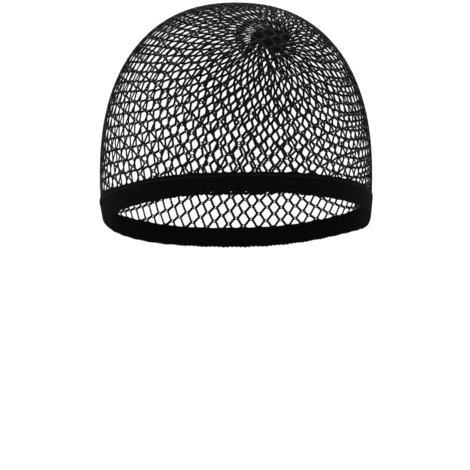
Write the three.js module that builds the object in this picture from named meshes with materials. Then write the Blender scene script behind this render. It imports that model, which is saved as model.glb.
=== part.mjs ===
// A wig net: a net cap with an elastic band round its opening, in the form that it has when it is
// worn. Millimetres, +Z up. The forehead side faces -Y. The origin lies inside the cap, on the
// midplane, halfway from the forehead to the back of the head, at the level where it is widest.
import * as THREE from "three";

// The head form that the cap is stretched over, which is also the net's inner face. It is widest
// at z = 0, where its plan has one half that reaches forward and a shorter one that reaches back.
const HALF_WIDTH = 73.8;
const FRONT_REACH = 104.8;
const BACK_REACH = 84.8;
const CROWN_RISE = 94.2; // from the widest level to the top
const LOWER_REACH = 120.8; // how slowly the form narrows below the widest level
const PLAN_POWER = 2.1; // 2 is an ellipse, and more is fuller at the temples
const RISE_POWER = 2.31; // 2 is an ellipse, and more is fuller at the crown
const WIDEST_Y = (FRONT_REACH - BACK_REACH) / 2;

// The net and the band that it is sewn to, both measured outwards from the form.
const NET_THICKNESS = 1.2;
const BAND_THICKNESS = 2;
const BAND_HEIGHT = 12;
const SEAM_GAP = 0.3; // between pieces that are sewn to each other

// The band's upper edge: its height at the forehead, its fall towards the nape, and its roll.
const EDGE_AT_FOREHEAD = 2.2;
const EDGE_FALL = 0.11; // per millimetre behind the forehead
const EDGE_CURVE = 0.00032; // and this much more for each square millimetre
const EDGE_ROLL = 0.018; // up towards +X

// The tied end of the net, on the back of the crown.
const TIE_BACKWARD_LEAN = 34; // degrees from +Z
const TIE_SIDEWARD_LEAN = 12.5;
const TIE_RADIUS = 6;
const TIE_HEIGHT = 4.4;

// The knot of sewing thread under the band.
const THREAD_KNOT_AZIMUTH = 47; // degrees from the forehead towards +X
const THREAD_KNOT_HALF_SIZE = new THREE.Vector3(1.4, 1, 1.2);

// How finely the form is faceted.
const COLUMNS = 60;
const NET_ROWS = 14;
const ROUND_SIDES = 20;

const NET_BLACK = new THREE.MeshStandardMaterial({ color: 0x17171a, roughness: 0.75, metalness: 0 });
const BAND_BLACK = new THREE.MeshStandardMaterial({ color: 0x0e0e10, roughness: 0.9, metalness: 0 });
const THREAD_BLACK = new THREE.MeshStandardMaterial({ color: 0x121214, roughness: 0.6, metalness: 0 });

// The unit vector in plan at an azimuth, which is 0 at the forehead and grows towards +X.
function heading(azimuth) {
  return new THREE.Vector3(Math.sin(azimuth), -Math.cos(azimuth), 0);
}

// The four functions below measure from the middle of the widest section, and lift is how far the
// form's own reaches grow on all sides.

// The size of a vector in plan, as a share of the widest section.
function planSize(v, lift) {
  const reach = v.y < 0 ? FRONT_REACH : BACK_REACH;
  const across = Math.abs(v.x / (HALF_WIDTH + lift)) ** PLAN_POWER;
  const along = Math.abs(v.y / (reach + lift)) ** PLAN_POWER;
  return (across + along) ** (1 / PLAN_POWER);
}

// The point of the form in a direction.
function inDirection(direction, lift) {
  const plan = planSize(direction, lift);
  const rise = direction.z / (CROWN_RISE + lift);
  const fall = direction.z / (LOWER_REACH + lift);
  const upperSize = (plan ** RISE_POWER + Math.abs(rise) ** RISE_POWER) ** (1 / RISE_POWER);
  const size = direction.z > 0 ? upperSize : Math.hypot(plan, fall);
  return direction.clone().divideScalar(size);
}

// The point of the form at an azimuth and a height.
function atHeight(azimuth, z, lift) {
  const upperShare = (1 - Math.max(0, z / (CROWN_RISE + lift)) ** RISE_POWER) ** (1 / RISE_POWER);
  const share = z > 0 ? upperShare : Math.sqrt(1 - (z / (LOWER_REACH + lift)) ** 2);
  const plan = heading(azimuth);
  return plan.multiplyScalar(share / planSize(plan, lift)).setZ(z);
}

// The point of the form at an azimuth, so far below the band's upper edge. The edge's height
// depends on where it is in plan, so the point is closed in on.
function belowEdge(azimuth, drop, lift) {
  let point = atHeight(azimuth, 0, lift);
  for (let round = 0; round < 6; round++) {
    const behindForehead = point.y + FRONT_REACH;
    const fall = EDGE_FALL * behindForehead + EDGE_CURVE * behindForehead ** 2;
    point = atHeight(azimuth, EDGE_AT_FOREHEAD - fall + EDGE_ROLL * point.x - drop, lift);
  }
  return point;
}

// A closed body with flat facets, from its points and the corners of its facets, which run
// anticlockwise seen from outside. A facet has three corners or four.
function facetedBody(points, facets) {
  const geometry = new THREE.BufferGeometry().setFromPoints(points);
  geometry.setIndex(facets.flatMap(([a, b, c, d]) => (d === undefined ? [a, b, c] : [a, b, c, a, c, d])));
  geometry.translate(0, WIDEST_Y, 0);
  geometry.computeVertexNormals();
  return geometry;
}

// The net: an outer and an inner skin over the form, joined round the opening.
function netGeometry() {
  const points = [];
  const facets = [];
  const skinSize = NET_ROWS * COLUMNS + 1;
  for (const lift of [NET_THICKNESS, 0]) {
    for (let row = 0; row < NET_ROWS; row++) {
      for (let column = 0; column < COLUMNS; column++) {
        const azimuth = (column / COLUMNS) * 2 * Math.PI;
        const edge = belowEdge(azimuth, -SEAM_GAP, lift);
        const edgeElevation = Math.atan2(edge.z, Math.hypot(edge.x, edge.y));
        const elevation = THREE.MathUtils.lerp(edgeElevation, Math.PI / 2, row / NET_ROWS);
        const level = heading(azimuth).multiplyScalar(Math.cos(elevation));
        points.push(inDirection(level.setZ(Math.sin(elevation)), lift));
      }
    }
    points.push(inDirection(new THREE.Vector3(0, 0, 1), lift));
  }
  for (let column = 0; column < COLUMNS; column++) {
    const next = (column + 1) % COLUMNS;
    for (let row = 0; row < NET_ROWS - 1; row++) {
      const [here, there] = [row * COLUMNS + column, row * COLUMNS + next];
      facets.push([here, there, there + COLUMNS, here + COLUMNS]);
      facets.push([there, here, here + COLUMNS, there + COLUMNS].map((corner) => corner + skinSize));
    }
    const topRow = (NET_ROWS - 1) * COLUMNS;
    facets.push([topRow + column, topRow + next, skinSize - 1]);
    facets.push([skinSize + topRow + next, skinSize + topRow + column, 2 * skinSize - 1]);
    facets.push([skinSize + column, skinSize + next, next, column]);
  }
  return facetedBody(points, facets);
}

// The band: a ring that lies flat on the form and follows the edge.
function bandGeometry() {
  const points = [];
  const facets = [];
  for (let column = 0; column < COLUMNS; column++) {
    const azimuth = (column / COLUMNS) * 2 * Math.PI;
    points.push(belowEdge(azimuth, BAND_HEIGHT, BAND_THICKNESS));
    points.push(belowEdge(azimuth, 0, BAND_THICKNESS));
    points.push(belowEdge(azimuth, 0, 0));
    points.push(belowEdge(azimuth, BAND_HEIGHT, 0));
    const [here, there] = [4 * column, 4 * ((column + 1) % COLUMNS)];
    for (let side = 0; side < 4; side++) {
      const after = (side + 1) % 4;
      facets.push([here + side, there + side, there + after, here + after]);
    }
  }
  return facetedBody(points, facets);
}

// The tied end: a round cushion with a flat foot, which its own +Y stands on.
function tieMesh() {
  const bulge = TIE_HEIGHT / 2;
  const profile = new THREE.Path();
  profile.moveTo(0, 0);
  profile.lineTo(TIE_RADIUS - bulge, 0);
  profile.absarc(TIE_RADIUS - bulge, bulge, bulge, -Math.PI / 2, Math.PI / 2, false);
  profile.lineTo(0, TIE_HEIGHT);
  const mesh = new THREE.Mesh(new THREE.LatheGeometry(profile.getPoints(6), ROUND_SIDES), THREAD_BLACK);
  const backward = THREE.MathUtils.degToRad(TIE_BACKWARD_LEAN);
  const sideward = THREE.MathUtils.degToRad(TIE_SIDEWARD_LEAN);
  const outward = new THREE.Vector3(
    Math.sin(sideward),
    Math.cos(sideward) * Math.sin(backward),
    Math.cos(sideward) * Math.cos(backward),
  );
  const lift = NET_THICKNESS + SEAM_GAP;
  const seat = inDirection(outward, lift);
  const step = new THREE.Vector3(0.01, 0, 0);
  const sideStep = inDirection(outward.clone().add(step), lift).sub(seat);
  const backStep = inDirection(outward.clone().add(step.set(0, 0.01, 0)), lift).sub(seat);
  const normal = sideStep.cross(backStep).normalize();
  mesh.quaternion.setFromUnitVectors(new THREE.Vector3(0, 1, 0), normal);
  mesh.position.copy(seat).setY(seat.y + WIDEST_Y);
  return mesh;
}

// The knot of thread: an egg-shaped nub just below the band's lower edge, on the form.
function threadKnotMesh() {
  const mesh = new THREE.Mesh(new THREE.SphereGeometry(1, ROUND_SIDES, 12), THREAD_BLACK);
  const azimuth = THREE.MathUtils.degToRad(THREAD_KNOT_AZIMUTH);
  const drop = BAND_HEIGHT + SEAM_GAP + THREAD_KNOT_HALF_SIZE.z;
  const seat = belowEdge(azimuth, drop, THREAD_KNOT_HALF_SIZE.y);
  mesh.scale.copy(THREAD_KNOT_HALF_SIZE);
  mesh.rotation.z = azimuth;
  mesh.position.copy(seat).setY(seat.y + WIDEST_Y);
  return mesh;
}

function withName(mesh, name) {
  mesh.name = name;
  return mesh;
}

const cap = new THREE.Group();
cap.add(withName(new THREE.Mesh(netGeometry(), NET_BLACK), "net_dome"));
cap.add(withName(new THREE.Mesh(bandGeometry(), BAND_BLACK), "elastic_band"));
cap.add(withName(tieMesh(), "crown_tie"));
cap.add(withName(threadKnotMesh(), "thread_knot"));

export default cap;
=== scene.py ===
"""A wig net as it looks when it is worn: a knitted net of diamonds that is gathered and tied on the
back of the crown, with an elastic band round its opening. The head in it is left out.

The net is one relaxed spring net, whose strands settle on the head form of the CAD frame. The band
follows the edge of that form. Lengths are in millimetres until a mesh is made, and in metres for
the camera, the lights and the floor. Angles are in radians.
"""

import bpy
import numpy as np
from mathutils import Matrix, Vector


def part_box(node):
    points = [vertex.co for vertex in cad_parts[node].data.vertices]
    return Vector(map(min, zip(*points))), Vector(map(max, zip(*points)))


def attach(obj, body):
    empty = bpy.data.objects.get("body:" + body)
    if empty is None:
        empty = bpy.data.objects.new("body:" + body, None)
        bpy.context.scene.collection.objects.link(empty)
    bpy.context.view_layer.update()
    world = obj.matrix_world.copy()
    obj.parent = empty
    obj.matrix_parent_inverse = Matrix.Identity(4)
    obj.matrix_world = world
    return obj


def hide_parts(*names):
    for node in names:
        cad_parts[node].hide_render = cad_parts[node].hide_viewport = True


MM = 0.001
TURN = 2 * np.pi
UP = np.array([0.0, 0.0, 1.0])
FORWARD = np.array([0.0, -1.0, 0.0])

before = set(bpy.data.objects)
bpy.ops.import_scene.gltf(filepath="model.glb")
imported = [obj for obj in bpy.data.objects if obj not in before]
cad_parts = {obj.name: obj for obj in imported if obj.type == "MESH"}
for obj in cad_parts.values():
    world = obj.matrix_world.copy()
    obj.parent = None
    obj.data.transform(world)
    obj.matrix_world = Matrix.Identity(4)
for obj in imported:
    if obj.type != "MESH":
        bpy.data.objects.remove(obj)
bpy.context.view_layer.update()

# The head form, whose reaches are those of the CAD net's outer face.
net_low, net_high = (np.array(corner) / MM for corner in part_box("net_dome"))
WIDEST_Y = 10.0  # where the form is widest, in front of and behind which it is a half oval
MIDDLE = np.array([0.0, WIDEST_Y, 0.0])
HALF_WIDTH = net_high[0]
FRONT_REACH = WIDEST_Y - net_low[1]
BACK_REACH = net_high[1] - WIDEST_Y
CROWN_RISE = net_high[2]
LOWER_REACH = 122.0  # how slowly the form narrows below the widest level
PLAN_POWER = 2.1  # 2 is an ellipse, and more is fuller at the temples
RISE_POWER = 2.31  # 2 is an ellipse, and more is fuller at the crown
INNER_LIFT = -1.2  # the form's own skin, measured from the CAD net's outer face

# The band's upper edge, as in the CAD band.
BAND_HEIGHT = 12.0
EDGE_AT_FOREHEAD = 2.2
EDGE_FALL = 0.11  # per millimetre behind the forehead
EDGE_CURVE = 0.00032  # and this much more for each square millimetre
EDGE_ROLL = 0.018  # up towards +X

# The net. A half row is half a diamond high. The net's own rim hangs lower at the sides and the
# back than the band, and what hangs below the band is cut off.
COLUMNS = 50
HALF_ROWS = 46
STRAND_LENGTH = 4.44  # from one crossing to the next, before it is stretched
RIM_STRAND_EXTRA = 0.37  # how much longer the strands at the rim are
RIM_EXTRA_ROWS = 8
RIGHT_STRAND_EXTRA = 0.056  # how much longer the strands at the right of the head are
RIM_FRONT, RIM_SIDE, RIM_BACK = -7.7, -38.0, -112.0
# How the columns crowd along the rim: waves that go once and three times round it.
CROWD_FRONT, CROWD_RIGHT = -0.048, -0.054
CROWD_FRONT_THRICE, CROWD_RIGHT_THRICE = 0.244, -0.063
RIM_PHASE = 0.1  # the first column's place, in columns from the middle of the forehead
CROWN_TWIST = 0.77  # how far the net is turned at the crown
TIE_BACKWARD_LEAN = np.radians(34)  # of the crown's gathering, from +Z
TIE_SIDEWARD_LEAN = np.radians(12.5)
GATHER_RADIUS = 7.0
NET_LIFT = -0.45

# How uneven the strands' lengths are, and how much more so in a patch right of the forehead.
UNEVENNESS = 0.04
ROUGH_EXTRA, ROUGH_AZIMUTH, ROUGH_HALF_WIDTH = 1.3, 0.5, 0.45

# How the spring net relaxes: how long, and what a crossing's speed keeps and gains in a round.
RELAXING_ROUNDS = 1500
SPEED_KEPT = 0.93
PULL_TAKEN = 0.22

# The cords, and the links of thread at their crossings.
CORD_RADIUS = 0.8  # where the net isn't stretched
CORD_THICKNESS = 0.5  # a share of their width, because they lie pulled flat on the head
CORD_SIDES = 5
STITCH = 1.56  # the pitch of the chain stitches along a cord
STEPS_PER_STITCH = 3
CORD_STEP = STITCH / STEPS_PER_STITCH
STITCH_SWELL = 0.1  # how much thicker a cord is in the middle of a stitch
BEND_SHARE = 0.16  # of a strand, which goes to the bend at either end of it
GUIDES = 3  # points in each strand that its cord's centre line passes
FULL_ROOM = 7.0  # between crossings side by side. With less, the bends and links are smaller.
LEAST_ROOM = 0.1  # as a share of that
CROWDED_ROOM = 2 / 3  # the share below which the cords are thinner and lie over each other
OVERLAP_LIFT = 0.7  # of every other cord, where there is no room at all
LINK_HALF_WIDTH = 0.82  # from the middle of a crossing to the bends that its link ties together
LINK_HALF_HEIGHT = 0.8
LINK_RADIUS = 0.28
LINK_POINTS = 10
LINK_LIFT = 0.15
LINK_LEAST_ROOM = 0.45  # crossings with less room have no link of their own
LINK_TUCK = 1.0  # how far below the band's upper edge a crossing still has its link
GORES = 4  # meshes that the net is made in
TUCK = 6.5  # how far the net reaches down inside the band
SHORTEST_RUN = 5  # points of a cord: a run with no more of them is left out

# The band, whose faces are measured from the CAD net's outer face, and the needle holes in it.
BAND_OUTER, BAND_INNER = 0.4, -1.25
SCALLOPS = 208
COLUMNS_PER_SCALLOP = 10
SCALLOP_DEPTH = 0.75
SHALLOWEST_SCALLOP = 0.55  # as a share of that
RIBS_PER_SCALLOP = 2
RIB_DEPTH = 0.05
EDGE_ZONE = 3.0  # how far down the upper edge's changes reach, and how far up the hem's
CORD_DRAWS_UP, CORD_DRAWS_WITHIN = 0.35, 0.014  # the upper edge, and how far to its sides
MOST_CORDS_DRAW = 1.5  # as many cords at one place at most
HOLE_DROPS = (10.3, 10.15, 10.0)  # of a hole's lower rim, its middle and its upper rim
HOLE_COLUMNS = (9, 0)  # on either side of the middle of a scallop
PULLED_OPEN = range(-5, 3)  # the scallops, from the middle of the forehead, with an open hole
STAYS_SHUT = -2  # but for this one

# The zigzag seam that the band is sewn to the net with.
SEAM_DROP = 1.75  # of its middle, below the band's upper edge
SEAM_HALF_HEIGHT = 0.65
SEAM_CORNERS_PER_SCALLOP = 4
SEAM_THREAD_RADIUS = 0.16
SEAM_SUNK = 0.02  # of the thread's middle, into the band's outer face
CORNER_CUT = 0.1  # of each stitch, at either end

# Where the band differs from the CAD band. Each swell has a size, an azimuth and a half width, and
# each wave has a size, a number round the band and a phase.
BAND_SAG = ((1.2, -0.9, 0.36),)
HEM_TUCK = ((0.9, 0.179, 0.011), (-1.2, 0.152, 0.014))
HEM_RISE = ((1.2, 0.235, 0.075), (0.45, 0.38, 0.14), (0.3, -0.25, 0.2), (1.0, -1.6, 0.25))
HEM_DROOP = ((2.4, 1.65, 0.35), (0.9, -0.95, 0.34))
HEM_LIFT = ((-1.1, -1.57, 0.4),)  # which falls to nothing at the upper edge
GATHERS = ((0.42, -1.62, 0.3),)
GATHER_COUNT, GATHER_DEPTH = 139, 0.06  # round the whole band, where they are shallow
EDGE_WAVES = ((0.12, 9, 1), (0.1, 31, 0))
HEM_WAVES = ((0.16, 7, 0), (0.14, 43, 1))

# ---------------------------------------------------------------------------------------------
# The head form. Points are measured from MIDDLE, as arrays whose last axis is x, y, z, and lift
# is how far a face lies outside the CAD net's outer face.


def unit(vectors):
    """The vectors' directions, with a length of 1."""
    return vectors / np.linalg.norm(vectors, axis=-1, keepdims=True)


def plan_size(points, lift):
    """The points' size in plan, as a share of the widest section."""
    reach = np.where(points[..., 1] < 0, FRONT_REACH, BACK_REACH) + lift
    across = np.abs(points[..., 0] / (HALF_WIDTH + lift)) ** PLAN_POWER
    along = np.abs(points[..., 1] / reach) ** PLAN_POWER
    return (across + along) ** (1 / PLAN_POWER)


def form_size(points, lift=0.0):
    """1 on the form, and in proportion elsewhere."""
    plan = plan_size(points, lift)
    rise = np.maximum(points[..., 2], 0) / (CROWN_RISE + lift)
    fall = np.minimum(points[..., 2], 0) / (LOWER_REACH + lift)
    upper = (plan**RISE_POWER + rise**RISE_POWER) ** (1 / RISE_POWER)
    return np.where(points[..., 2] > 0, upper, np.hypot(plan, fall))


def on_form(points, lift=0.0):
    """The points moved straight away from MIDDLE, or towards it, onto the form."""
    return points / form_size(points, lift)[..., None]


def form_normal(points):
    """The form's outward direction at the points."""
    slopes = [form_size(points + 0.5 * axis) - form_size(points - 0.5 * axis) for axis in np.eye(3)]
    return unit(np.stack(slopes, -1))


def level_normal(points):
    """The same, but level."""
    return unit(form_normal(points) * [1, 1, 0])


def forward_along(outward):
    """The direction forwards on a face with this outward direction."""
    return unit(FORWARD - outward * (FORWARD @ outward))


def heading(azimuth):
    """The direction in plan at an azimuth, which is 0 at the forehead and grows towards +X."""
    return np.stack([np.sin(azimuth), -np.cos(azimuth), np.zeros_like(azimuth)], -1)


def at_height(azimuth, z, lift):
    """The point of the form at an azimuth and a height."""
    rise = np.clip(z / (CROWN_RISE + lift), 0, 1)
    fall = np.clip(z / (LOWER_REACH + lift), -1, 0)
    share = np.where(z > 0, (1 - rise**RISE_POWER) ** (1 / RISE_POWER), np.sqrt(1 - fall**2))
    plan = heading(azimuth)
    return plan * (share / plan_size(plan, lift))[..., None] + z[..., None] * UP


def edge_height(points):
    """The height of the band's upper edge at the points' places in plan."""
    behind_forehead = points[..., 1] + FRONT_REACH + INNER_LIFT
    fall = EDGE_FALL * behind_forehead + EDGE_CURVE * behind_forehead**2
    return EDGE_AT_FOREHEAD - fall + EDGE_ROLL * points[..., 0]


def below_edge(azimuth, drop, lift):
    """The point of the form at an azimuth, so far below the band's upper edge. The edge's height
    depends on where it is in plan, so the point is closed in on."""
    points = at_height(azimuth, np.zeros_like(azimuth), lift)
    for _ in range(6):
        points = at_height(azimuth, edge_height(points) - drop, lift)
    return points


def even_azimuths(fractions, curve, stretch=np.ones_like):
    """The azimuths at these fractions of a closed curve's length, from the forehead. stretch is how
    much longer than it is the curve counts as, at an azimuth."""
    azimuth = np.linspace(0, TURN, 2001)
    steps = np.linalg.norm(np.diff(curve(azimuth), axis=0), axis=1)
    steps *= stretch((azimuth[1:] + azimuth[:-1]) / 2)
    walked = np.concatenate([[0.0], np.cumsum(steps)])
    return np.interp(np.mod(fractions, 1) * walked[-1], walked, azimuth)


# ---------------------------------------------------------------------------------------------
# The net's crossings: a spring net that relaxes on the form.


def net_rim(azimuth):
    """The net's own rim, through its heights at the front, the sides and the back."""
    share = (1 - np.cos(azimuth)) / 2
    slope = 4 * RIM_SIDE - 3 * RIM_FRONT - RIM_BACK
    bend = 2 * RIM_FRONT + 2 * RIM_BACK - 4 * RIM_SIDE
    z = RIM_FRONT + slope * share + bend * share**2
    return at_height(azimuth, z, NET_LIFT)


def rim_crowding(azimuth):
    """How closely the columns stand along the rim, where 1 is evenly."""
    once = CROWD_FRONT * np.cos(azimuth) + CROWD_RIGHT * np.sin(azimuth)
    thrice = CROWD_FRONT_THRICE * np.cos(3 * azimuth) + CROWD_RIGHT_THRICE * np.sin(3 * azimuth)
    return 1 + once + thrice


def crown_frame():
    """The middle of the gathering, and the directions outwards, forwards and to the right there."""
    sine, cosine = np.sin(TIE_BACKWARD_LEAN), np.cos(TIE_BACKWARD_LEAN)
    outward = np.array([np.sin(TIE_SIDEWARD_LEAN), 0.0, 0.0])
    outward += np.cos(TIE_SIDEWARD_LEAN) * np.array([0.0, sine, cosine])
    forward = forward_along(outward)
    right = np.cross(outward, forward)
    return on_form(outward, NET_LIFT), outward, forward, right * np.sign(right[0])


def crown_ring(turns, radius):
    """Points on the form round the middle of the gathering."""
    middle, _, forward, right = crown_frame()
    angle = TURN * turns[..., None]
    ring = middle + radius * (np.cos(angle) * forward + np.sin(angle) * right)
    return on_form(ring, NET_LIFT)


def first_guess():
    """Crossings that are spread evenly on great arcs from the rim to the gathering."""
    rows = np.arange(HALF_ROWS + 1)
    turns = (np.arange(COLUMNS) + RIM_PHASE + 0.5 * (rows[:, None] % 2)) / COLUMNS
    share = rows[:, None] / HALF_ROWS
    rim = unit(net_rim(even_azimuths(turns, net_rim, rim_crowding)))
    crown = unit(crown_ring(turns + CROWN_TWIST * share / TURN, GATHER_RADIUS))
    angle = np.arccos(np.clip((rim * crown).sum(-1), -1, 1))
    rim_part = (np.sin((1 - share) * angle) / np.sin(angle))[..., None]
    crown_part = (np.sin(share * angle) / np.sin(angle))[..., None]
    return on_form(rim_part * rim + crown_part * crown, NET_LIFT)


def strand_lengths():
    """How long the strand up to the right of each crossing is before it is stretched, and the one
    up to the left, as an array of two by half rows by columns."""
    rows = np.arange(HALF_ROWS)[:, None]
    azimuth = TURN * np.mod(np.arange(COLUMNS) / COLUMNS + 0.5, 1) - np.pi
    uneven = np.random.default_rng(11).standard_normal((2, HALF_ROWS, COLUMNS))
    rougher = 1 + ROUGH_EXTRA * np.exp(-(((azimuth - ROUGH_AZIMUTH) / ROUGH_HALF_WIDTH) ** 2))
    lengths = STRAND_LENGTH * (1 + RIM_STRAND_EXTRA * np.exp(-rows / RIM_EXTRA_ROWS))
    lengths = lengths * (1 + UNEVENNESS * uneven * rougher)
    return lengths * (1 + RIGHT_STRAND_EXTRA * np.sin(azimuth))


def relaxed_net(lengths):
    """Crossings as an array of half rows by columns. An odd half row lies half a column on. The
    first and the last half row stay where they are."""
    crossings = first_guess()
    rows = np.arange(HALF_ROWS)[:, None]
    columns = np.arange(COLUMNS)
    to_right = (columns + rows % 2) % COLUMNS
    to_left = (columns + rows % 2 - 1) % COLUMNS
    from_right = (columns - rows % 2) % COLUMNS
    from_left = (columns + 1 - rows % 2) % COLUMNS
    ways = ((to_right, from_right, lengths[0]), (to_left, from_left, lengths[1]))
    speed = np.zeros_like(crossings)
    for _ in range(RELAXING_ROUNDS):
        pull = np.zeros_like(crossings)
        for goal, back, length in ways:
            strand = crossings[rows + 1, goal] - crossings[rows, columns]
            span = np.linalg.norm(strand, axis=-1)
            force = strand * ((span - length) / span)[..., None]
            pull[:-1] += force
            pull[1:] -= force[rows, back]
        speed = SPEED_KEPT * speed + PULL_TAKEN * pull
        speed[[0, -1]] = 0
        moved = on_form(crossings + speed, NET_LIFT)
        moved[[0, -1]] = crossings[[0, -1]]
        speed = moved - crossings
        crossings = moved
    return crossings


# ---------------------------------------------------------------------------------------------
# The cords. The net has no knots: each cord runs zigzag from the rim to the crown between two
# others, and a small link of thread ties each of its bends to the bend of the next cord.


def smooth_line(points, step):
    """Points at an even step along the smooth curve through the given ones, and their places in
    the given list."""
    spans = np.linalg.norm(np.diff(points, axis=0), axis=1)
    slopes = np.diff(points, axis=0) / spans[:, None]
    before, after = spans[:-1, None], spans[1:, None]
    middle = (slopes[:-1] * after + slopes[1:] * before) / (before + after)
    tangents = np.concatenate([slopes[:1], middle, slopes[-1:]])
    walked = np.concatenate([[0.0], np.cumsum(spans)])
    at = np.arange(0, walked[-1], step)
    i = np.clip(np.searchsorted(walked, at, side="right") - 1, 0, len(spans) - 1)
    span = spans[i, None]
    t = (at - walked[i])[:, None] / span
    line = (2 * t**3 - 3 * t**2 + 1) * points[i] + (3 * t**2 - 2 * t**3) * points[i + 1]
    line += span * ((t**3 - 2 * t**2 + t) * tangents[i] + (t**3 - t**2) * tangents[i + 1])
    return line, i + t[:, 0]


def crossing_frames(crossings):
    """The directions up the net and to the right at each crossing, and how much room there is, as
    a share of FULL_ROOM."""
    rows = np.arange(HALF_ROWS + 1)[:, None]
    right = (np.arange(COLUMNS) + rows % 2) % COLUMNS
    left = (right - 1) % COLUMNS
    above = (crossings[rows[1:], right[:-1]] + crossings[rows[1:], left[:-1]]) / 2
    below = (crossings[rows[:-1], right[1:]] + crossings[rows[:-1], left[1:]]) / 2
    upward = np.zeros_like(crossings)
    upward[:-1] += above - crossings[:-1]
    upward[1:] += crossings[1:] - below
    upward = unit(upward)
    sideways = unit(np.cross(upward, form_normal(crossings)))
    gap = np.linalg.norm(np.roll(crossings, -1, axis=1) - crossings, axis=-1, keepdims=True)
    return upward, sideways, np.clip(gap / FULL_ROOM, LEAST_ROOM, 1)


def net_cords(crossings, lengths):
    """The centre line, the radii and the outward directions of each cord, from rim to crown, and
    how far along the unstretched cord each point lies."""
    _, sideways, room = crossing_frames(crossings)
    row = np.arange(HALF_ROWS + 1)
    odd = row % 2 == 1
    cords = []
    for cord in range(2 * COLUMNS):
        column = np.where(odd, cord // 2, (cord + 1) // 2) % COLUMNS
        side = np.where(odd == (cord % 2 == 0), -1, 1)[:, None]
        to_bend = sideways[row, column] * side * room[row, column] * LINK_HALF_WIDTH
        bends = crossings[row, column] + to_bend
        span = np.concatenate([np.diff(bends, axis=0), bends[-1:] - bends[-2:-1]])
        guide = np.stack([bends, bends + BEND_SHARE * span, bends + (1 - BEND_SHARE) * span], 1)
        line, place = smooth_line(guide.reshape(-1, 3)[: 1 - GUIDES], CORD_STEP)
        place = place / GUIDES
        line = on_form(line, NET_LIFT)
        normal = form_normal(line)

        # 1 where the cords have room, and 0 where there is none.
        free = np.clip(np.interp(place, row, room[row, column, 0]) / CROWDED_ROOM, 0, 1)
        line = line + normal * (OVERLAP_LIFT * (cord % 2) * (1 - free))[:, None]
        thinned = np.sqrt(STRAND_LENGTH / np.linalg.norm(span, axis=1))
        radii = CORD_RADIUS * np.interp(place, row + 0.5, thinned) * (0.5 + 0.5 * free)

        goes_left = (odd != (cord % 2 == 1)).astype(int)[:-1]
        unstretched = lengths[goes_left, row[:-1], column[:-1]]
        walked = np.interp(place, row, np.concatenate([[0.0], np.cumsum(unstretched)]))
        cords.append((line, radii, normal, walked))
    return cords


def add_links(tubes, crossings, columns):
    """The link at each crossing of these columns: a flat ring from the one bend to the other."""
    upward, sideways, room = crossing_frames(crossings)
    outward = form_normal(crossings)
    angle = TURN * (np.arange(LINK_POINTS) + 0.5) / LINK_POINTS
    across = (LINK_HALF_WIDTH * np.cos(angle))[:, None]
    along = (LINK_HALF_HEIGHT * np.sin(angle))[:, None]
    for row in range(1, HALF_ROWS):
        for column in columns:
            crossing, size = crossings[row, column], room[row, column, 0]
            if edge_height(crossing) - crossing[2] > LINK_TUCK or size < LINK_LEAST_ROOM:
                continue
            ring = crossing + size * across * sideways[row, column]
            ring = ring + along * upward[row, column] + LINK_LIFT * outward[row, column]
            facing = np.broadcast_to(outward[row, column], ring.shape)
            tubes.add(ring, LINK_RADIUS, facing, closed=True)


def runs_above_band(line):
    """The stretches of a line that show above the band, with what is tucked inside it."""
    shown = edge_height(line) - line[:, 2] < TUCK
    changes = np.flatnonzero(np.diff(np.concatenate([[False], shown, [False]]).astype(int)))
    return [slice(a, b) for a, b in changes.reshape(-1, 2) if b - a > SHORTEST_RUN]


# ---------------------------------------------------------------------------------------------
# Meshes. They have two UV layers: OFBake, in which no two faces lie over each other, and yarn,
# which is a face's place in the knitting, counted in stitches.


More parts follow.
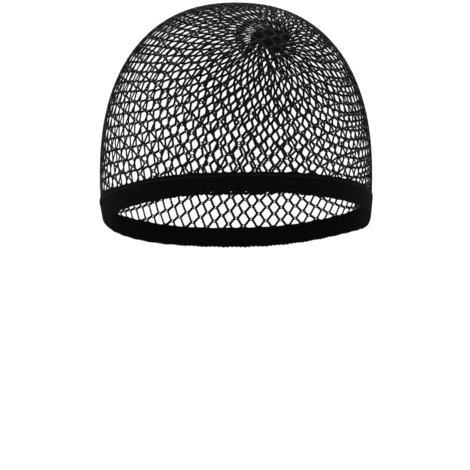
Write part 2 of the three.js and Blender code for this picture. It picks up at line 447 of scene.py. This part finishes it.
class Tubes:
    """Round tubes that become one mesh. Every face has four corners, so the ends of a tube with an
    odd number of sides keep one open triangle."""

    GIRTH_IN_STEPS = 6  # roughly, so that the bake gives a face the same room both ways
    BAKE_GAP = 0.01  # on both sides of a step, as a share of it
    BAKE_ROW_GAP = 0.02  # on both sides of a row of steps, as a share of it
    END_RADIUS = 0.45  # of a tube's end in the bake, in steps

    def __init__(self, sides, thickness=1.0):
        """thickness is the tubes' height off the form as a share of their width."""
        self.sides = sides
        self.thickness = thickness
        self.angles = TURN * np.arange(sides) / sides
        self.vertices, self.quads, self.yarn, self.cells = [], [], [], []
        self.vertex_count = self.cell_count = 0

    def add(self, line, radii, outward, closed=False):
        """outward is a direction for each point, roughly square to the line."""
        count, sides = len(line), self.sides
        ahead = np.roll(line, -1, axis=0) - np.roll(line, 1, axis=0)
        if not closed:
            ahead[0], ahead[-1] = line[1] - line[0], line[-1] - line[-2]
        ahead = unit(ahead)
        across = unit(np.cross(ahead, outward))
        outward = self.thickness * np.cross(across, ahead)
        rings = np.cos(self.angles)[:, None] * outward[:, None]
        rings += np.sin(self.angles)[:, None] * across[:, None]
        radii = np.broadcast_to(radii, count)
        self.vertices.append((line[:, None] + rings * radii[:, None, None]).reshape(-1, 3))

        step = np.arange(count if closed else count - 1)[:, None]
        side = np.arange(sides)
        next_side = (side + 1) % sides
        near, far = step * sides, (step + 1) % count * sides
        quads = np.stack([near + side, near + next_side, far + next_side, far + side], -1)
        self.add_faces(quads.reshape(-1, 4), *self.wrapped(step, side))
        self.cell_count += len(step)
        if not closed:
            self.add_end(0, -1)
            self.add_end(count - 1, 1)
        self.vertex_count += count * sides

    def wrapped(self, step, side):
        """The places of the faces along and round a tube, in the knitting and in the bake."""
        step = np.broadcast_to(step, (len(step), self.sides))
        side = np.broadcast_to(side, step.shape)
        yarn, cells = [], []
        for ahead, round_it in ((0, 0), (0, 1), (1, 1), (1, 0)):
            way_round = (side + round_it) / self.sides
            within = ahead * (1 - 2 * self.BAKE_GAP) + self.BAKE_GAP
            yarn.append(np.stack([step + ahead, way_round], -1))
            cells.append(np.stack([self.cell_count + step + within, way_round], -1))
        return np.stack(yarn, 2).reshape(-1, 4, 2), np.stack(cells, 2).reshape(-1, 4, 2)

    def add_end(self, ring, order):
        """A fan of faces over the end of a tube. order turns it to face outwards."""
        fan = np.array([[0, m, m + 1, m + 2] for m in range(1, self.sides - 2, 2)])[:, ::order]
        angle = self.angles[fan]
        place = 0.5 + self.END_RADIUS * np.stack([np.cos(angle), np.sin(angle)], -1)
        yarn = np.full(place.shape, 0.5) + [ring, 0]
        self.add_faces(fan + ring * self.sides, yarn, place + [self.cell_count, 0])
        self.cell_count += 1

    def add_faces(self, quads, yarn, cells):
        """quads counts the vertices from those of the present tube."""
        self.quads.append(quads + self.vertex_count)
        self.yarn.append(yarn)
        self.cells.append(cells)

    def mesh(self, name, material, steps_per_stitch):
        """The tubes as an object, in whose bake their steps lie in rows."""
        yarn = np.concatenate(self.yarn)
        yarn[..., 0] /= steps_per_stitch
        cells = np.concatenate(self.cells)
        per_row = int(np.ceil(np.sqrt(self.cell_count * self.GIRTH_IN_STEPS)))
        row = np.floor(cells[..., 0].mean(-1) / per_row)[:, None]
        cells[..., 0] = (cells[..., 0] - row * per_row) / per_row
        within = self.BAKE_ROW_GAP + (1 - 2 * self.BAKE_ROW_GAP) * cells[..., 1]
        cells[..., 1] = (row + within) / np.ceil(self.cell_count / per_row)
        points, quads = np.concatenate(self.vertices), np.concatenate(self.quads)
        return new_mesh(name, points, quads, cells, yarn, material)


def new_mesh(name, points, quads, cells, yarn, material):
    """An object on the body root, from points measured from MIDDLE and the corners of its faces,
    with their places in the bake and in the knitting."""
    mesh = bpy.data.meshes.new(name)
    mesh.vertices.add(len(points))
    mesh.vertices.foreach_set("co", ((points + MIDDLE) * MM).astype(np.float32).ravel())
    mesh.loops.add(quads.size)
    mesh.loops.foreach_set("vertex_index", quads.astype(np.int32).ravel())
    mesh.polygons.add(len(quads))
    mesh.polygons.foreach_set("loop_start", np.arange(0, quads.size, 4, dtype=np.int32))
    mesh.update(calc_edges=True)
    for layer, places in (("OFBake", cells), ("yarn", yarn)):
        mesh.uv_layers.new(name=layer).uv.foreach_set("vector", places.astype(np.float32).ravel())
    mesh.polygons.foreach_set("use_smooth", np.ones(len(quads), bool))
    mesh.validate()
    mesh.materials.append(material)
    obj = bpy.data.objects.new(name, mesh)
    bpy.context.scene.collection.objects.link(obj)
    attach(obj, "root")
    return obj


# ---------------------------------------------------------------------------------------------
# Materials.


def node_tree(material):
    """The material's emptied nodes, its links and its new shader."""
    material.use_nodes = True
    nodes = material.node_tree.nodes
    nodes.clear()
    output = nodes.new("ShaderNodeOutputMaterial")
    shader = nodes.new("ShaderNodeBsdfPrincipled")
    material.node_tree.links.new(shader.outputs["BSDF"], output.inputs["Surface"])
    return nodes, material.node_tree.links, shader


def yarn_material(name, dark, light, roughness, shine, relief):
    """Chain stitches along a yarn, with a fuzz of fibres between them."""
    material = bpy.data.materials.new(name)
    nodes, links, shader = node_tree(material)
    shader.inputs["Sheen Weight"].default_value = shine
    shader.inputs["Sheen Roughness"].default_value = 0.5
    shader.inputs["Specular IOR Level"].default_value = 3 * shine
    place = nodes.new("ShaderNodeUVMap")
    place.uv_map = "yarn"
    stitches = nodes.new("ShaderNodeTexWave")
    stitches.inputs["Scale"].default_value = 0.314  # one wave to a stitch
    stitches.inputs["Distortion"].default_value = 1.2
    stitches.inputs["Detail"].default_value = 1.0
    links.new(place.outputs["UV"], stitches.inputs["Vector"])
    position = nodes.new("ShaderNodeTexCoord")
    fibres = nodes.new("ShaderNodeTexNoise")
    fibres.inputs["Scale"].default_value = 2600.0  # to a metre
    fibres.inputs["Detail"].default_value = 3.0
    links.new(position.outputs["Object"], fibres.inputs["Vector"])
    height = nodes.new("ShaderNodeMix")
    height.inputs["Factor"].default_value = 0.35
    links.new(stitches.outputs["Fac"], height.inputs["A"])
    links.new(fibres.outputs["Fac"], height.inputs["B"])
    bump = nodes.new("ShaderNodeBump")
    bump.inputs["Strength"].default_value = relief
    bump.inputs["Distance"].default_value = 0.0002
    links.new(height.outputs["Result"], bump.inputs["Height"])
    links.new(bump.outputs["Normal"], shader.inputs["Normal"])
    # The colour follows the bump's height. Part of it is painted shade: the yarn is darker in the
    # grooves between the stitches and lighter on their crowns. The other part is the yarn's own
    # tone, which varies at random with the fibre noise.
    shade_and_tone = nodes.new("ShaderNodeMix")
    shade_and_tone.data_type = "RGBA"
    shade_and_tone.inputs["A"].default_value = (*dark, 1)
    shade_and_tone.inputs["B"].default_value = (*light, 1)
    links.new(height.outputs["Result"], shade_and_tone.inputs["Factor"])
    links.new(shade_and_tone.outputs["Result"], shader.inputs["Base Color"])
    rough = nodes.new("ShaderNodeMapRange")
    rough.inputs["To Min"].default_value = roughness - 0.1
    rough.inputs["To Max"].default_value = roughness + 0.1
    links.new(fibres.outputs["Fac"], rough.inputs["Value"])
    links.new(rough.outputs["Result"], shader.inputs["Roughness"])
    return material


NET_YARN = yarn_material(
    "net_yarn",
    dark=(0.0015, 0.0015, 0.002),
    light=(0.005, 0.005, 0.006),
    roughness=0.62,
    shine=0.01,
    relief=0.8,
)
BAND_KNIT = yarn_material(
    "band_knit",
    dark=(0.0007, 0.0007, 0.0008),
    light=(0.0024, 0.0024, 0.0026),
    roughness=0.85,
    shine=0.003,
    relief=0.6,
)
THREAD = yarn_material(
    "sewing_thread",
    dark=(0.0015, 0.0015, 0.002),
    light=(0.006, 0.006, 0.007),
    roughness=0.5,
    shine=0.01,
    relief=0.5,
)

# ---------------------------------------------------------------------------------------------
# The net, in gores that each hold the same number of cords.

lengths = strand_lengths()
crossings = relaxed_net(lengths)
cords = net_cords(crossings, lengths)
for gore in range(GORES):
    tubes = Tubes(CORD_SIDES, CORD_THICKNESS)
    share = range(gore * 2 * COLUMNS // GORES, (gore + 1) * 2 * COLUMNS // GORES)
    cord_length = longest = 0.0
    for line, radii, normal, walked in (cords[cord] for cord in share):
        beads = 1 + STITCH_SWELL * np.sin(TURN * np.arange(len(line)) / STEPS_PER_STITCH)
        for run in runs_above_band(line):
            tubes.add(line[run], (radii * beads)[run], normal[run])
            length = walked[run][-1] - walked[run][0]
            cord_length += length
            longest = max(longest, length)
    add_links(tubes, crossings, range((share.start + 1) // 2, (share.stop + 1) // 2))
    piece = tubes.mesh(f"net_gore_{gore + 1}", NET_YARN, STEPS_PER_STITCH)
    if gore == 0:
        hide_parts("net_dome")

# ---------------------------------------------------------------------------------------------
# The band, with its zigzag seam.


def window(azimuth, middle, half_width):
    """1 at an azimuth, falling smoothly to 0 either side of it."""
    away = np.mod(azimuth - middle + np.pi, TURN) - np.pi
    return np.exp(-((away / half_width) ** 2))


def swollen(azimuth, swells):
    """The sum of swells, each with a size, an azimuth and a half width."""
    return sum(size * window(azimuth, middle, half_width) for size, middle, half_width in swells)


def waved(fractions, waves):
    """The sum of waves, each with a size, a number round the band and a phase."""
    return sum(size * np.sin(TURN * fractions * count + phase) for size, count, phase in waves)


def edge_crossings():
    """The azimuths at which the net's cords come out of the band."""
    found = []
    for line, _, _, _ in cords:
        drop = edge_height(line) - line[:, 2]
        for i in np.flatnonzero((drop[:-1] > 0) != (drop[1:] > 0)):
            found.append(np.arctan2(line[i, 0], -line[i, 1]))
    return np.array(found)


def band_section():
    """The band's section as drops below its upper edge and lifts, from its lower edge up the outer
    face and down the inner one. Three points on either face are the rims of the needle holes and
    their middle."""
    hole_low, hole_middle, hole_high = HOLE_DROPS
    outer = [(12.0, -0.9), (11.95, -0.4), (11.5, -0.1), (10.7, 0.0)]
    outer += [(hole_low, -0.1), (hole_middle, -0.16), (hole_high, -0.1)]
    outer += [(9.5, 0.0), (7.6, 0.0), (6.2, 0.0), (4.8, 0.0), (3.6, 0.0), (2.6, -0.06)]
    outer += [(2.0, -0.06), (1.2, 0.0), (0.5, -0.08), (0.1, -0.4), (0.0, -0.9)]
    inner = [(0.1, 0.25), (0.5, 0.05), (2.0, 0.0), (4.8, 0.0), (7.6, 0.0)]
    inner += [(hole_high, 0.05), (hole_middle, 0.07), (hole_low, 0.05), (11.5, 0.05), (11.95, 0.25)]
    section = [(drop, BAND_OUTER + lift) for drop, lift in outer]
    return np.array(section + [(drop, BAND_INNER + lift) for drop, lift in inner])


def band_points(section, fractions, nearest):
    """The band's points as an array of columns by section points."""
    azimuth = even_azimuths(fractions, lambda a: below_edge(a, BAND_HEIGHT / 2, BAND_OUTER))
    drop, lift = (np.tile(way, (len(fractions), 1)) for way in section.T)
    upper = np.clip(1 - section[:, 0] / EDGE_ZONE, 0, 1)
    lower = np.clip((section[:, 0] - (BAND_HEIGHT - EDGE_ZONE)) / EDGE_ZONE, 0, 1)
    facing_out = np.clip((section[:, 1] - BAND_INNER) / (BAND_OUTER - BAND_INNER), 0, 1)

    # The lower edge is scalloped by its stitches, the upper one is drawn up by the net's cords.
    uneven = np.random.default_rng(5).random(SCALLOPS)
    depth = SCALLOP_DEPTH * (SHALLOWEST_SCALLOP + (1 - SHALLOWEST_SCALLOP) * uneven)
    scallop = depth[nearest] * (1 - np.abs(np.cos(np.pi * fractions * SCALLOPS)))
    cords_here = window(azimuth[:, None], edge_crossings(), CORD_DRAWS_WITHIN).sum(1)
    drawn_up = CORD_DRAWS_UP * np.minimum(cords_here, MOST_CORDS_DRAW)
    drop += upper * (waved(fractions, EDGE_WAVES) - drawn_up)[:, None]
    drop += lower * (waved(fractions, HEM_WAVES) - scallop)[:, None]
    # The hem rises right of the forehead's middle, with a tuck in it, and droops at the sides.
    hem = swollen(azimuth, HEM_TUCK) - swollen(azimuth, HEM_RISE) + swollen(azimuth, HEM_DROOP)
    drop += lower * hem[:, None]
    drop += swollen(azimuth, BAND_SAG)[:, None]

    # Ribs, and the gathers by the left temple, where the hem is also drawn in.
    ribs = RIB_DEPTH * np.cos(TURN * fractions * SCALLOPS * RIBS_PER_SCALLOP)
    gathers = np.sin(TURN * fractions * GATHER_COUNT) * (GATHER_DEPTH + swollen(azimuth, GATHERS))
    lift += facing_out * ribs[:, None] + (facing_out * (0.35 + 0.65 * lower)) * gathers[:, None]
    lift += swollen(azimuth, HEM_LIFT)[:, None] * section[:, 0] / BAND_HEIGHT

    points = np.stack([below_edge(azimuth, way, 0.0) for way in drop.T], 1)
    return points + level_normal(points) * lift[..., None]


def hole_walls(column, rims):
    """The walls of a hole's half, through the band: below, above and at the side away from the
    other half."""
    outer_low, outer_middle, outer_high, inner_high, inner_middle, inner_low = rims
    here, there = column, column + 1
    yield (here, outer_low), (here, inner_low), (there, inner_low), (there, outer_low)
    yield (there, outer_high), (there, inner_high), (here, inner_high), (here, outer_high)
    if column % COLUMNS_PER_SCALLOP == HOLE_COLUMNS[0]:
        yield (here, outer_middle), (here, inner_middle), (here, inner_low), (here, outer_low)
        yield (here, outer_high), (here, inner_high), (here, inner_middle), (here, outer_middle)
    else:
        yield (there, outer_low), (there, inner_low), (there, inner_middle), (there, outer_middle)
        yield (there, outer_middle), (there, inner_middle), (there, inner_high), (there, outer_high)


def band_piece():
    """The knitted elastic with its needle holes. The opened ones are cut through both faces."""
    columns = SCALLOPS * COLUMNS_PER_SCALLOP
    nearest = (np.arange(columns) + COLUMNS_PER_SCALLOP // 2) // COLUMNS_PER_SCALLOP % SCALLOPS
    section = band_section()
    count = len(section)
    points = band_points(section, np.arange(columns) / columns, nearest)
    rims = np.flatnonzero(np.isin(section[:, 0], HOLE_DROPS))

    # How far each section point lies along the section, which ends half a millimetre past the
    # last one. In the bake the band is cut in strips, each of them with room for the hole walls.
    steps = np.linalg.norm(np.diff(section, axis=0), axis=1)
    around = np.concatenate([[0.0], np.cumsum(steps), [steps.sum() + 0.5]])
    strips = 4
    per_strip = columns // strips
    columns_per_rib = COLUMNS_PER_SCALLOP / RIBS_PER_SCALLOP
    wall_size = 0.1
    quads, yarn, cells = [], [], []

    def add(corners, places):
        """A face, whose corners are (column, section point) and whose places are (column, way)."""
        strip = places[0][0] // per_strip
        quads.append([c % columns * count + r % count for c, r in corners])
        yarn.append([(c / columns_per_rib, way) for c, way in places])
        along = [(c - strip * per_strip) / per_strip for c, _ in places]
        across = [(strip + 0.9 * way / around[-1]) / strips for _, way in places]
        cells.append(list(zip(along, across)))

    for c in range(columns):
        place = (nearest[c] + SCALLOPS // 2) % SCALLOPS - SCALLOPS // 2
        opened = place in PULLED_OPEN and place != STAYS_SHUT
        in_hole = opened and c % COLUMNS_PER_SCALLOP in HOLE_COLUMNS
        for r in range(count):
            if in_hole and r in rims and r + 1 in rims:
                continue
            corners = ((c, r), (c + 1, r), (c + 1, r + 1), (c, r + 1))
            add(corners, [(a, around[b]) for a, b in corners])
        if in_hole:
            low, high = around[-1] * 1.05, around[-1] * 1.05 + wall_size
            for wall in hole_walls(c, rims):
                add(wall, [(c, low), (c, high), (c + wall_size, high), (c + wall_size, low)])
    quads, yarn, cells = np.array(quads), np.array(yarn), np.array(cells)
    piece = new_mesh("band", points.reshape(-1, 3), quads, cells, yarn, BAND_KNIT)
    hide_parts("elastic_band")
    return piece


def seam_piece():
    """The zigzag of thread that the band is sewn to the net with, just under its upper edge."""
    count = SEAM_CORNERS_PER_SCALLOP * SCALLOPS
    place = np.arange(count)
    azimuth = even_azimuths(place / count, lambda a: below_edge(a, SEAM_DROP, BAND_OUTER))
    drop = SEAM_DROP + SEAM_HALF_HEIGHT * np.where(place % 2, 1, -1)
    corners = below_edge(azimuth, drop + swollen(azimuth, BAND_SAG), 0.0)
    corners += level_normal(corners) * (BAND_OUTER - SEAM_SUNK)
    before = (1 - CORNER_CUT) * corners + CORNER_CUT * np.roll(corners, 1, axis=0)
    after = (1 - CORNER_CUT) * corners + CORNER_CUT * np.roll(corners, -1, axis=0)
    line = np.stack([before, after], 1).reshape(-1, 3)
    seam = Tubes(5)
    seam.add(line, SEAM_THREAD_RADIUS, form_normal(line), closed=True)
    piece = seam.mesh("band_seam", THREAD, 2)
    return piece


band = band_piece()

# ---------------------------------------------------------------------------------------------
# The gathered end of the net, tied with thread on the back of the crown.

# A cord's route there: its distance to the tie's own axis, its height on it, how much of its turn
# it has made, and how far it is drawn in where other cords lie outside it. It comes in along the
# head, rises through the thread and fans out above it.
TAIL_RADII = np.array([7.6, 5.4, 3.6, 2.5, 2.2, 2.6, 3.7, 4.7, 5.2])
TAIL_HEIGHTS = np.array([-0.35, 0.1, 0.75, 1.5, 2.3, 3.1, 3.7, 3.6, 3.0])
TAIL_TURNS = np.array([0, 0, 0, 0.3, 0.6, 1, 1.6, 2.2, 2.6])
TAIL_DRAWN_IN = np.array([0, 0, 0.5, 1, 1, 1, 1.2, 1.7, 1.9])
TAIL_SPREAD = np.array([0, 0, 0, 0, 0, 0, 0.5, 1, 1.2])
TAIL_THICK_AT, TAIL_THICKNESS = [0, 2, 3, 4, 5, 7, 8], [0.5, 0.42, 0.3, 0.26, 0.3, 0.42, 0.36]
FANNED = slice(6, None)  # the points above the thread

# The thread round it, which is wound down and up again.
WOUND_TURNS = 5.6
WOUND_RADIUS, WOUND_RIPPLE = 2.72, 0.07
OVERLAID_AFTER, OVERLAID_BY = 3, 0.12  # turns, from which it lies over the earlier ones
WOUND_FROM, WOUND_BY = 1.62, 1.15  # its lowest height on the tie, and its height above that
WOUND_THREAD_RADIUS = 0.2


def tie_frame():
    """The middle of the gathering, and the directions outwards, forwards and to the left on the
    form there."""
    middle = crown_frame()[0]
    outward = form_normal(middle[None])[0]
    forward = forward_along(outward)
    return middle, outward, forward, np.cross(forward, outward)


def on_tie(radius, height, angle):
    """Points round the tie's own axis, from their distance to it and their height on it."""
    middle, outward, forward, left = tie_frame()
    ring = np.cos(angle)[..., None] * forward + np.sin(angle)[..., None] * left
    return middle + radius[..., None] * ring + height[..., None] * outward


def gathered_ends():
    """The ends of the cords, two by two, from the net's last crossings."""
    random = np.random.default_rng(3)
    tails = Tubes(CORD_SIDES)
    middle, _, forward, left = tie_frame()
    for k, end in enumerate(crossings[-1] - middle):
        angle = np.arctan2(end @ left, end @ forward)
        inside = 0.8 * (k % 2) + 0.7 * (k % 4 == 1)  # how far in it lies, in layers of cords
        spread = random.uniform(-0.5, 0.5)
        rise = random.uniform(-0.4, 0.4)
        turn = random.uniform(-0.12, 0.12)
        radius = TAIL_RADII + spread * TAIL_SPREAD - inside * TAIL_DRAWN_IN
        height = TAIL_HEIGHTS.copy()
        height[FANNED] += rise + 0.8 * inside
        route = on_tie(radius, height, angle + turn * TAIL_TURNS)
        line, place = smooth_line(route, CORD_STEP * 0.7)
        thick = np.interp(place, TAIL_THICK_AT, TAIL_THICKNESS)
        well_outside = on_tie(*(np.full(len(line), value) for value in (9.0, 2.0, angle)))
        tails.add(line, thick, well_outside - line)
    return tails.mesh("crown_gather", NET_YARN, 4)


def winding_thread():
    """The thread wound round the gathered ends, and its two cut ends."""
    thread = Tubes(8)
    turns = np.linspace(0, WOUND_TURNS, 240)
    radius = WOUND_RADIUS + WOUND_RIPPLE * np.sin(turns * 9) + OVERLAID_BY * (turns > OVERLAID_AFTER)
    height = WOUND_FROM + WOUND_BY * np.abs(np.mod(turns / (WOUND_TURNS / 2), 2) - 1)
    line = on_tie(radius, height, TURN * turns)
    thread.add(line, WOUND_THREAD_RADIUS, line - on_tie(np.zeros_like(turns), height, turns))
    t = np.linspace(0, 1, 24)
    for side in (-1, 1):
        tail = on_tie(2.7 + 2.6 * t, 2.4 + 0.9 * t - 1.9 * t**2, side * (0.25 + 0.3 * t) + 2.2)
        thread.add(tail, WOUND_THREAD_RADIUS, np.broadcast_to(tie_frame()[1], tail.shape))
    return thread.mesh("crown_thread", THREAD, 4)


def crown_pieces():
    """What replaces the CAD tie."""
    gathered = gathered_ends()
    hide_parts("crown_tie")
    wound = winding_thread()
    return [gathered, wound]


seam_piece()
crown = crown_pieces()

# ---------------------------------------------------------------------------------------------
# The knot of sewing thread at the band's hem.

KNOT_BESIDE_CAD, KNOT_ABOVE_CAD = 2.7, 0.4  # how far it lies from the middle of the CAD knot
LOOPS_HALF_WIDTH, LOOPS_HALF_HEIGHT, LOOPS_HALF_DEPTH = 1.5, 0.85, 0.45
LOOP_RADIUS, END_RADIUS, STEM_RADIUS = 0.55, 0.28, 0.42  # of the thread
CUT_ENDS = ((-0.9, 0.7), (0.8, 0.5))  # each one's lean and length
STEM_LEANS = (-0.7, 0.1, 0.8)


def knot_piece():
    """Thread in a trefoil's loops, with its two cut ends below and stems up to the hem."""
    low, high = (np.array(corner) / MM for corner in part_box("thread_knot"))
    middle = (low + high) / 2 - MIDDLE
    outward = level_normal(middle[None])[0]
    across = np.cross(UP, outward)
    middle = middle + KNOT_BESIDE_CAD * across + KNOT_ABOVE_CAD * UP
    thread = Tubes(8)

    t = np.linspace(0, TURN, 121)[:-1, None]
    swing = 0.7 + 0.3 * np.cos(3 * t)
    loops = LOOPS_HALF_WIDTH * swing * np.cos(2 * t) * across
    loops = loops + LOOPS_HALF_HEIGHT * swing * np.sin(2 * t) * UP
    loops = loops + LOOPS_HALF_DEPTH * np.sin(3 * t) * outward
    thread.add(middle + loops, LOOP_RADIUS, loops + 0.1 * outward, closed=True)

    s = np.linspace(0, 1, 20)[:, None]
    for lean, length in CUT_ENDS:
        end = middle - UP * (0.5 + length * s) + across * lean * (0.7 + 0.6 * s) + outward * 0.3 * s
        thread.add(end, END_RADIUS, np.broadcast_to(outward, end.shape))
    for lean in STEM_LEANS:
        stem = middle + UP * (0.3 + 2.2 * s) - outward * 0.5 * s
        stem = stem + across * (1.3 * lean - 0.4) * (1 - 0.3 * s)
        thread.add(stem, STEM_RADIUS, np.broadcast_to(outward, stem.shape))
    knot = thread.mesh("thread_knot_visual", THREAD, 4)
    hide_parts("thread_knot")


knot_piece()

# ---------------------------------------------------------------------------------------------
# Camera, light and floor.

CAMERA_DISTANCE = 1.5  # metres, in plan, from the middle of the widest section
CAMERA_X = -0.00055
CAMERA_PITCH = np.radians(-1.2316)
CAMERA_LENS = 208.4

camera_data = bpy.data.cameras.new("camera")
camera_data.lens = CAMERA_LENS
camera = bpy.data.objects.new("camera", camera_data)
camera.location = (CAMERA_X, WIDEST_Y * MM - CAMERA_DISTANCE, 0.0)
camera.rotation_euler = (np.pi / 2 + CAMERA_PITCH, 0, 0)
bpy.context.scene.collection.objects.link(camera)
bpy.context.scene.camera = camera


def soft_light(name, place, size, power):
    """A square light that faces the cap."""
    data = bpy.data.lights.new(name, "AREA")
    data.size = size
    data.energy = power
    light = bpy.data.objects.new(name, data)
    light.location = place
    light.rotation_euler = (Vector((0, 0, 0.03)) - Vector(place)).to_track_quat("-Z", "Y").to_euler()
    bpy.context.scene.collection.objects.link(light)


soft_light("key", place=(-0.9, -1.2, 1.3), size=0.9, power=26)
soft_light("fill", place=(1.4, -0.9, 0.5), size=1.2, power=12)
soft_light("top", place=(0.0, 0.9, 1.5), size=1.0, power=16)

world = bpy.data.worlds.new("studio")
world.use_nodes = True
world.node_tree.nodes["Background"].inputs["Color"].default_value = (1, 1, 1, 1)
world.node_tree.nodes["Background"].inputs["Strength"].default_value = 1.1
bpy.context.scene.world = world
bpy.context.scene.view_settings.view_transform = "Standard"


def studio_floor():
    """A round floor that curves up into a wall, well away from the cameras."""
    flat, curve, height, below_cap = 4.0, 1.5, 3.0, 0.3
    steps = 96
    bend = np.linspace(0, np.pi / 2, 13)
    radius = np.concatenate([[0.0], flat + curve * np.sin(bend), [flat + curve]])
    level = np.concatenate([[0.0], curve * (1 - np.cos(bend)), [height]]) - below_cap
    angle = TURN * np.arange(steps) / steps
    x, y = np.outer(np.cos(angle), radius), np.outer(np.sin(angle), radius)
    points = np.stack([x, y, np.broadcast_to(level, x.shape)], -1)
    faces = []
    for i in range(steps):
        for j in range(len(radius) - 1):
            a, b = i * len(radius) + j, (i + 1) % steps * len(radius) + j
            faces.append((a, a + 1, b + 1, b))
    mesh = bpy.data.meshes.new("floor")
    mesh.from_pydata(points.reshape(-1, 3).tolist(), [], faces)
    mesh.polygons.foreach_set("use_smooth", [True] * len(faces))
    material = bpy.data.materials.new("floor")
    _, _, shader = node_tree(material)
    shader.inputs["Base Color"].default_value = (0.93, 0.93, 0.93, 1)
    shader.inputs["Roughness"].default_value = 0.9
    mesh.materials.append(material)
    obj = bpy.data.objects.new("floor", mesh)
    bpy.context.scene.collection.objects.link(obj)


studio_floor()
